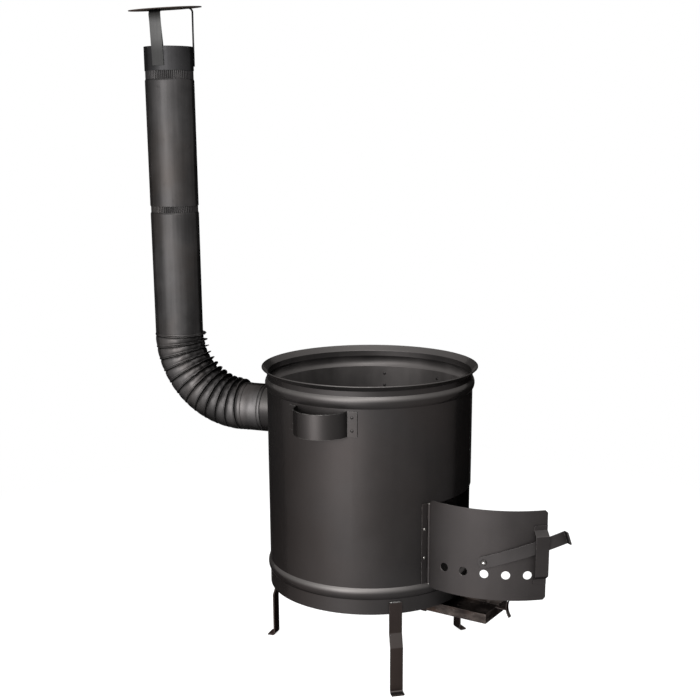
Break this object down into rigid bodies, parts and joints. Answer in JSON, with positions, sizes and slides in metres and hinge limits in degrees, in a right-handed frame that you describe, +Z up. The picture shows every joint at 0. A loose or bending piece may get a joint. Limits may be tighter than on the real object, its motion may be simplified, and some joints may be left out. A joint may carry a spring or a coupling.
{
  "type": "cauldron stove",
  "caption": "Free-standing sheet-steel stove for a cauldron: round drum with flared mouth, strip legs, curved side door with swing latch, ash tray and pleated-elbow flue with rain cap.",
  "frame": {"origin": "centre of the drum's neck, the straight ring under the flared rim that the cauldron sits in", "axes": "+Z up along the drum's axis, -Y towards the side door, +Y towards the flue"},
  "size_m": [0.5136, 0.9656, 1.3363],
  "materials": {
    "black_paint": "matte black heat-resistant paint",
    "bare_steel": "bare steel, satin",
    "cast_iron": "raw casting"
  },
  "bodies": {
    "stove": {"drum_shell": "black_paint", "drum_floor": "black_paint", "flue_spigot": "black_paint", "flue_elbow": "black_paint", "handle_left": "black_paint", "handle_right": "black_paint", "handle_rivets": "bare_steel", "leg_front_left": "black_paint", "leg_front_right": "black_paint", "leg_rear": "black_paint", "leg_welds": "bare_steel", "hinge_drum_leaf": "black_paint", "hinge_rivets": "bare_steel", "hinge_pin": "bare_steel", "latch_catch": "black_paint", "tray_rail_left": "black_paint", "tray_rail_right": "black_paint"},
    "grate": {"fire_grate": "cast_iron"},
    "door": {"door_panel": "black_paint", "hinge_door_leaf": "black_paint", "latch_keeper": "black_paint", "latch_pivot": "bare_steel"},
    "latch": {"latch_bar": "black_paint"},
    "tray": {"ash_tray": "black_paint", "tray_handle": "black_paint"},
    "lower_pipe": {"lower_flue_pipe": "black_paint"},
    "upper_pipe": {"upper_flue_pipe": "black_paint"},
    "cap": {"cap_collar": "black_paint", "cap_strap_front": "black_paint", "cap_strap_side": "black_paint", "cap_strap_back": "black_paint", "rain_cap": "black_paint"}
  },
  "joints": [
    {"name": "door_hinge", "type": "hinge", "parent": "stove", "child": "door", "pos_m": [-0.11615, -0.18057, -0.3055], "axis": [0, 0, 1], "range_deg": [-25, 81.4]},
    {"name": "latch_pivot", "type": "hinge", "parent": "door", "child": "latch", "pos_m": [-0.13401, -0.30074, -0.3192], "axis": [-0.9888, -0.1495, 0], "range_deg": [-22.7, 0]},
    {"name": "tray_slide", "type": "slide", "parent": "stove", "child": "tray", "axis": [-0.1219, -0.9925, 0], "range_m": [-0.0865, 0.13]},
    {"name": "grate_lift", "type": "slide", "parent": "stove", "child": "grate", "axis": [0, 0, 1], "range_m": [0, 0.4]},
    {"name": "lower_pipe_lift", "type": "slide", "parent": "stove", "child": "lower_pipe", "axis": [0, 0, 1], "range_m": [0, 0.06]},
    {"name": "upper_pipe_lift", "type": "slide", "parent": "lower_pipe", "child": "upper_pipe", "axis": [0, 0, 1], "range_m": [0, 0.06]},
    {"name": "cap_lift", "type": "slide", "parent": "upper_pipe", "child": "cap", "axis": [0, 0, 1], "range_m": [0, 0.04]}
  ]
}
